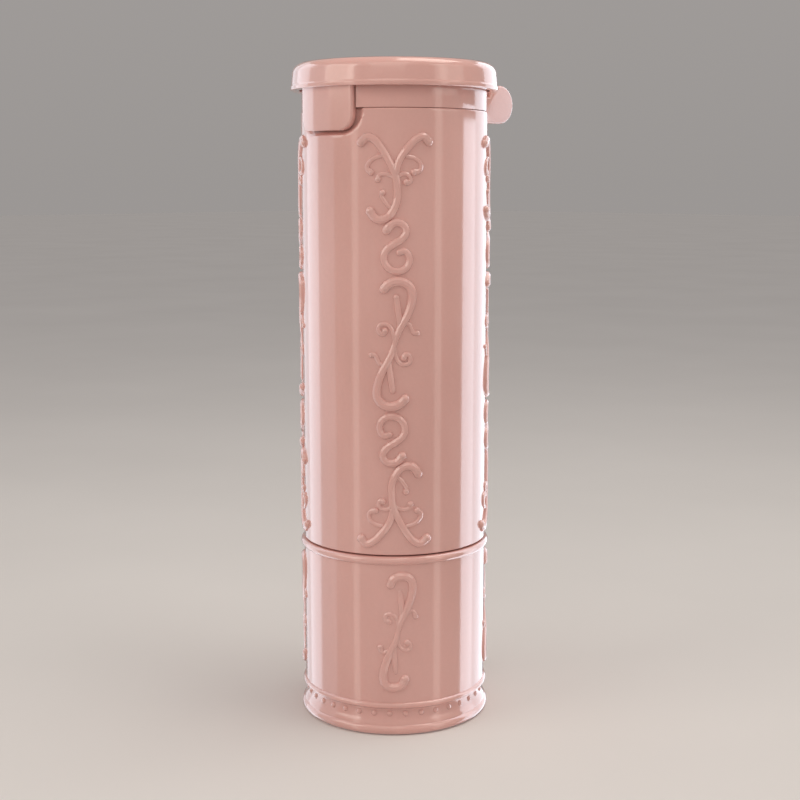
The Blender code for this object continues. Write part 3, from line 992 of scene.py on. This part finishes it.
# %% Turn the lid's cap
def cap_outline():
    shoulder = 1.25
    hollow_r, ceiling = 9.6, 76.9
    rim_inner = COLLAR_R + 0.25
    top_edge = 77.95
    lip_top = LID_RIM + 0.42
    seat = COLLAR_TOP + GAP
    return rounded([
        (0.0, LID_TOP, 0.0),
        (LID_R - 1.1, top_edge, 0.0),
        (LID_R - 0.30, top_edge - 0.12, shoulder),
        (LID_R - 0.08, lip_top + 0.20, 0.10),
        (LID_R, lip_top, 0.10),
        (LID_R, LID_RIM, 0.16),
        (rim_inner, LID_RIM, 0.1),
        (rim_inner, seat, 0.0),
        (hollow_r, seat, 0.0),
        (hollow_r, ceiling, 0.0),
        (0.0, ceiling, 0.0),
    ], steps=12)


# %% Shape the tongue
TONGUE_EDGE = 0.22
TONGUE_CORNER = 1.75


def wrapped_grid(shape, radius, rows):
    """The rows of (across, up) points, laid on a cylinder and added to the shape."""
    grid = []
    for row in rows:
        verts = []
        for across, up in row:
            angle = across / TONGUE_FACE_R
            verts.append(shape.verts.new(mm(radius * math.sin(angle), -radius * math.cos(angle), up)))
        grid.append(verts)
    return grid


def tongue_plate():
    """A plate with rounded lower corners, built flat and then wrapped on the cylinder."""
    half_width = TONGUE_FACE_R * TONGUE_HALF_ANGLE
    top = LID_RIM + 0.55
    side = arc((half_width - TONGUE_CORNER, TONGUE_BOTTOM + TONGUE_CORNER), TONGUE_CORNER, -90, 0, 10)
    steps, columns = 10, 32
    corner_top = side[-1][1]
    side += [(half_width, corner_top + (top - corner_top) * i / steps) for i in range(1, steps + 1)]
    rows = [[(width * (2 * i / columns - 1), height) for i in range(columns + 1)] for width, height in side]
    shape = bmesh.new()
    back, front = (wrapped_grid(shape, radius, rows) for radius in (TONGUE_BACK_R, TONGUE_FACE_R))
    for grid in (back, front):
        for lower, upper in zip(grid, grid[1:]):
            for i in range(columns):
                shape.faces.new((lower[i], lower[i + 1], upper[i + 1], upper[i]))
    last = len(rows) - 1
    border = [(0, i) for i in range(columns + 1)]
    border += [(j, columns) for j in range(1, last + 1)]
    border += [(last, i) for i in range(columns - 1, -1, -1)]
    border += [(j, 0) for j in range(last - 1, 0, -1)]
    rim_edges = []
    for (j0, i0), (j1, i1) in zip(border, border[1:] + border[:1]):
        shape.faces.new((back[j0][i0], back[j1][i1], front[j1][i1], front[j0][i0]))
        rim_edges.append(shape.edges.get((front[j0][i0], front[j1][i1])))
    bmesh.ops.recalc_face_normals(shape, faces=shape.faces)
    bmesh.ops.bevel(shape, geom=rim_edges, offset=mm(TONGUE_EDGE), segments=3, profile=0.5, affect="EDGES")
    return as_object("tongue", shape, SHELL)


# %% Join the lid
lid = as_object("flip_lid", spun(cap_outline()), SHELL)
knuckle = rod_along_x("knuckle", BARREL_R, -KNUCKLE_HALF, KNUCKLE_HALF, 64)
collar_room = room_below("collar_room", COLLAR_R + 0.25, COLLAR_TOP + GAP)
lid = combine(lid, "UNION", combine(knuckle, "DIFFERENCE", collar_room))
lid = combine(lid, "UNION", tongue_plate())
for side in (-1, 1):
    ends = sorted((side * KNUCKLE_HALF, side * (BARREL_HALF + GAP)))
    lid = combine(lid, "DIFFERENCE", rod_along_x("lug_room", BARREL_R + GAP, *ends, 64))
hole_half = KNUCKLE_HALF + 0.5
lid = combine(lid, "DIFFERENCE", rod_along_x("knuckle_hole", PIN_HOLE_R, -hole_half, hole_half))
finished(lid, "lid", "pink_plastic", "lid_shell")

# %% [markdown]
# ## The liner, the guide tube and the cup
#
# These show when the lid is open. The liner is a white disc with a skirt that seals the neck. The
# guide tube has a rounded mouth and two straight slots, and the cup has a softly rounded rim round the
# lipstick, with two lugs that reach through the slots. They are turned like the shells, with the
# slots and lugs added as solids.

# %% Turn the liner and the guide tube
def liner_outline():
    disc_r, disc, disc_top = 9.4, COLLAR_TOP + GAP, 76.7
    skirt_r, skirt_inner_r, skirt_bottom = 6.3, 5.7, 74.6
    return rounded([
        (0.0, disc_top, 0.0),
        (disc_r, disc_top, 0.1),
        (disc_r, disc, 0.15),
        (skirt_r, disc, 0.0),
        (skirt_r, skirt_bottom, 0.2),
        (skirt_inner_r, skirt_bottom, 0.2),
        (skirt_inner_r, disc, 0.0),
        (0.0, disc, 0.0),
    ], steps=4)


def guide_outline():
    outer_r, inner_r = radius_of("guide_tube"), 6.8
    top, bottom = top_of("guide_tube"), bottom_of("guide_tube")
    return rounded([
        (outer_r, top, 0.25),
        (outer_r, bottom, 0.1),
        (inner_r, bottom, 0.1),
        (inner_r, top, 0.25),
    ], steps=5)


liner = as_object("seal_liner", spun(liner_outline(), 128), MECHANISM)
finished(liner, "lid", "inner_plastic", "lid_liner")
guide = as_object("guide", spun(guide_outline(), 128), MECHANISM)


def box_solid(name, low, high):
    shape = bmesh.new()
    size = mm(*high) - mm(*low)
    place = Matrix.Translation((mm(*high) + mm(*low)) / 2) @ Matrix.Diagonal((*size, 1.0))
    bmesh.ops.create_cube(shape, size=1.0, matrix=place)
    return as_object(name, shape, MECHANISM)


SLOT_REACH, SLOT_HALF = 8.0, 1.1
SLOT_BOTTOM, SLOT_TOP = 45.4, 72.4
slots = box_solid("slots", (-SLOT_REACH, -SLOT_HALF, SLOT_BOTTOM), (SLOT_REACH, SLOT_HALF, SLOT_TOP))
guide = combine(guide, "DIFFERENCE", slots)
finished(guide, "body", "inner_plastic", "guide_tube")

# %% Turn the cup
CUP_R = 6.55
CUP_INNER_R = 6.0
CUP_FLOOR = 47.0


def cup_outline():
    top, bottom = top_of("cup"), bottom_of("cup")
    return rounded([
        (0.0, CUP_FLOOR, 0.0),
        (CUP_INNER_R, CUP_FLOOR, 0.2),
        (CUP_INNER_R, top, 0.2),
        (CUP_R, top, 0.2),
        (CUP_R, bottom, 0.3),
        (0.0, bottom, 0.0),
    ], steps=5)


cup = as_object("lipstick_cup", spun(cup_outline(), 128), MECHANISM)
LUG_HEIGHT, LUG_R = 46.6, 0.8
for side in (-1, 1):
    ends = sorted((side * (CUP_INNER_R + 0.2), side * radius_of("cup")))
    lug = prism_along_x("cup_lug", arc((0, LUG_HEIGHT), LUG_R, 0, 345, 23), *ends, rounding=0.12)
    cup = combine(cup, "UNION", lug)
finished(cup, "carrier", "inner_plastic", "cup")

# %% [markdown]
# ## The lipstick bullet
#
# A fresh lipstick is a cylinder cut by a slanted plane, with a soft edge where the slant meets the
# side. The shape follows a rule: the height of a point on the side is a share of the height that the
# slanted plane has there. The soft edge is a quarter circle on top of the side, and the slant closes
# it as a fan round one pole.

# %% Shape the bullet
def bullet_shape():
    bullet_r = radius_of("lipstick_bullet")
    tip, heel = top_of("lipstick_bullet"), 66.5
    bottom = bottom_of("lipstick_bullet")
    edge = 0.9
    steps = 96
    shape = bmesh.new()
    # each point: (radius, share of the height under the slant, rise over the soft edge)
    outline = [(bullet_r, i / 4, 0.0) for i in range(5)]
    for i in range(1, 9):
        turn = math.pi / 2 * i / 8
        outline.append((bullet_r - edge * (1 - math.cos(turn)), 1.0, edge * math.sin(turn)))
    outline += [((bullet_r - edge) * (1 - i / 8), 1.0, edge) for i in range(1, 8)]
    columns = []
    for step in range(steps):
        angle = 2 * math.pi * step / steps
        column = []
        for r, share, rise in outline:
            slant = (tip + heel) / 2 - (tip - heel) / 2 * (r * math.sin(angle)) / bullet_r
            height = bottom + (slant - edge - bottom) * share + rise
            column.append(shape.verts.new(mm(r * math.cos(angle), r * math.sin(angle), height)))
        columns.append(column)
    top_pole = shape.verts.new(mm(0, 0, (tip + heel) / 2))
    bottom_pole = shape.verts.new(mm(0, 0, bottom))
    for here, there in zip(columns, columns[1:] + columns[:1]):
        for i in range(len(outline) - 1):
            shape.faces.new((here[i], there[i], there[i + 1], here[i + 1]))
        shape.faces.new((here[-1], there[-1], top_pole))
        shape.faces.new((there[0], here[0], bottom_pole))
    bmesh.ops.recalc_face_normals(shape, faces=shape.faces)
    return shape


bullet = as_object("lipstick", bullet_shape(), WAX)
finished(bullet, "carrier", "wax", "lipstick_bullet")

# %% [markdown]
# ## The parts that keep their engineering shape
#
# The spiral tube, the drive neck, the friction ring, the steel weight and the hinge pin are right as
# they are, so only their finish changes. Each gets its material.

# %% Finish the carried-over parts
KEPT = {"spiral_tube": MECHANISM, "drive_neck": MECHANISM, "friction_ring": RUBBER, "base_weight": STEEL,
        "hinge_pin": STEEL}
for name, material in KEPT.items():
    node = frame["nodes"][name]
    node.data.materials.clear()
    node.data.materials.append(material)
    print(name, "->", material.name)

# %% [markdown]
# ## Camera
#
# The camera stands a hand's length away, just below the height of the lid, and looks slightly down
# the case. It is placed by its distance and height, and turned by its pitch and yaw, the way a tripod
# is set.

# %% Camera
CAMERA_AZIMUTH = math.radians(45)
CAMERA_DISTANCE = mm(167.5)
CAMERA_HEIGHT = mm(64.0)
CAMERA_PITCH = math.radians(7.66)
CAMERA_YAW = math.radians(-0.23)

camera = bpy.data.objects.new("camera", bpy.data.cameras.new("camera"))
bpy.context.scene.collection.objects.link(camera)
camera.location = (CAMERA_DISTANCE * math.sin(CAMERA_AZIMUTH), -CAMERA_DISTANCE * math.cos(CAMERA_AZIMUTH),
                   CAMERA_HEIGHT)
camera.rotation_euler = (math.pi / 2 - CAMERA_PITCH, 0, CAMERA_AZIMUTH + CAMERA_YAW)
camera.data.lens = 62.75
camera.data.sensor_width = 36
camera.data.shift_y = -0.035
camera.data.clip_start = mm(5)
bpy.context.scene.camera = camera

# %% [markdown]
# ## Floor and light
#
# The case stands on a plain pale floor. The room is a little brighter above than at the horizon,
# where it takes the colour of the floor, so that the two run into each other.
#
# Two kinds of lamp are needed. A key light from the upper left and a weaker one from the right graze
# the wall, so that every vine has a bright side and a dark side. A weak one in front softens the
# shadows beside the vines, and one from above and behind lights the lid. Glossy plastic also mirrors its
# surroundings, and the long bright lines down its edges are mirrored windows, so narrow strips stand
# close to the case for those lines.

# %% Floor
def studio_floor():
    finish = Finish("studio_floor")
    mottle = finish.noise(60.0, 3.0)
    finish.set(
        Base_Color=finish.blend(finish.range(mottle, 0.3, 0.7), (0.81, 0.80, 0.79), (0.84, 0.83, 0.82)),
        Roughness=0.8,
        Specular_IOR_Level=0.0,
    )
    shape = bmesh.new()
    half = mm(2500)
    corners = [(-half, -half, 0), (half, -half, 0), (half, half, 0), (-half, half, 0)]
    shape.faces.new([shape.verts.new(corner) for corner in corners])
    floor = as_object("floor", shape, finish.material)
    floor.visible_glossy = False


studio_floor()

# %% Key lights
WARM = (1.0, 0.92, 0.83)
COOL = (0.83, 0.90, 1.0)
CASE_MIDDLE = Vector((0, 0, (cad_low.z + cad_high.z) / 2))
KEY_AWAY = mm(250)
KEY_SIDE = mm(150)


def soft_panel(name, place, facing, width, height, watts, colour):
    """A rectangular lamp; `facing` is the direction from what it lights to the lamp."""
    light = bpy.data.lights.new(name, "AREA")
    light.shape = "RECTANGLE"
    light.size, light.size_y = width, height
    light.energy = watts
    light.color = colour
    thing = bpy.data.objects.new(name, light)
    bpy.context.scene.collection.objects.link(thing)
    thing.location = place
    thing.rotation_euler = facing.to_track_quat("Z", "Y").to_euler()
    thing.visible_camera = False
    return thing


def key_light(name, azimuth, elevation, watts):
    """A soft square lamp aimed at the middle of the case; azimuth 0 is in front of the tongue."""
    a, e = math.radians(azimuth), math.radians(elevation)
    away = Vector((math.sin(a) * math.cos(e), -math.cos(a) * math.cos(e), math.sin(e)))
    soft_panel(name, CASE_MIDDLE + away * KEY_AWAY, away, KEY_SIDE, KEY_SIDE, watts, WARM)


key_light("left_key", -18, 28, 0.13)
key_light("right_key", 108, 28, 0.06)
key_light("front_key", 38, 42, 0.06)
key_light("top_key", 135, 72, 0.20)

# %% [markdown]
# ## Windows that are only mirrored
#
# A mirror shows whatever lies along the reflected line of sight, so the place of a strip can be
# worked out. The function below takes an angle on the wall, measured from the side that faces the
# camera. It finds that spot, reflects the line of sight in the wall, and walks a short way along it.
# Two such angles give the two edges of a strip. The strips show in reflections only, because so close
# to the case they would leave pools of light. They run on below the floor, which is itself left out
# of reflections, so that no bright line stops half way down.

# %% Strips for the long bright lines
STRIP_AWAY = mm(25)
WINDOW_FOOT, WINDOW_HEAD = -20, 95


def mirrored_place(degrees_from_camera):
    angle = CAMERA_AZIMUTH + math.radians(degrees_from_camera)
    outward = Vector((math.sin(angle), -math.cos(angle)))
    spot = outward * mm(WALL_R)
    sight = (spot - camera.location.xy).normalized()
    return spot + sight.reflect(outward) * STRIP_AWAY


def mirrored_strip(name, first, last, brightness, colour=COOL, top=WINDOW_HEAD):
    """A strip that the wall mirrors between two angles; a brightness of 1 looks plain white by itself."""
    one, other = mirrored_place(first), mirrored_place(last)
    middle = (one + other) / 2
    edge = other - one
    facing = Vector((edge.y, -edge.x, 0)).normalized()
    if facing.xy.dot(middle) < 0:
        facing = -facing
    width, height = edge.length, mm(top - WINDOW_FOOT)
    strip = soft_panel(name, (*middle, mm(WINDOW_FOOT + top) / 2), facing, width, height,
                       brightness * math.pi * width * height, colour)
    strip.visible_diffuse = False
    print(f"{name}: {width / MM:.1f} mm wide")


mirrored_strip("right_window", 45, 57, 3.2, top=SLEEVE_TOP)
mirrored_strip("right_edge_window", 57, 78, 2.0)
mirrored_strip("left_edge_window", -76, -66, 0.9)
mirrored_strip("left_window", -66, -52, 1.95)
mirrored_strip("left_inner_window", -52, -38, 0.55)
mirrored_strip("left_band", -25.5, -21.5, 0.9, WARM)
mirrored_strip("right_band", 24.5, 29, 0.9, WARM)

# %% A room that is brighter above
HORIZON, ZENITH = 0.33, 0.45
world = bpy.data.worlds.new("soft_room")
world.use_nodes = True
room = Graph(world.node_tree)
direction = room.node("ShaderNodeTexCoord", output="Generated")
height = room.node("ShaderNodeSeparateXYZ", sockets={0: direction}, output="Z")
brightness = room.node("ShaderNodeMapRange", sockets={"Value": height, "To Min": HORIZON, "To Max": ZENITH})
background = world.node_tree.nodes["Background"]
background.inputs["Color"].default_value = (1.0, 0.94, 0.91, 1.0)
room.feed(background.inputs["Strength"], brightness)
bpy.context.scene.world = world
bpy.context.scene.view_settings.view_transform = "Standard"
print("lamps:", len(bpy.data.lights), "horizon", HORIZON, "zenith", ZENITH)
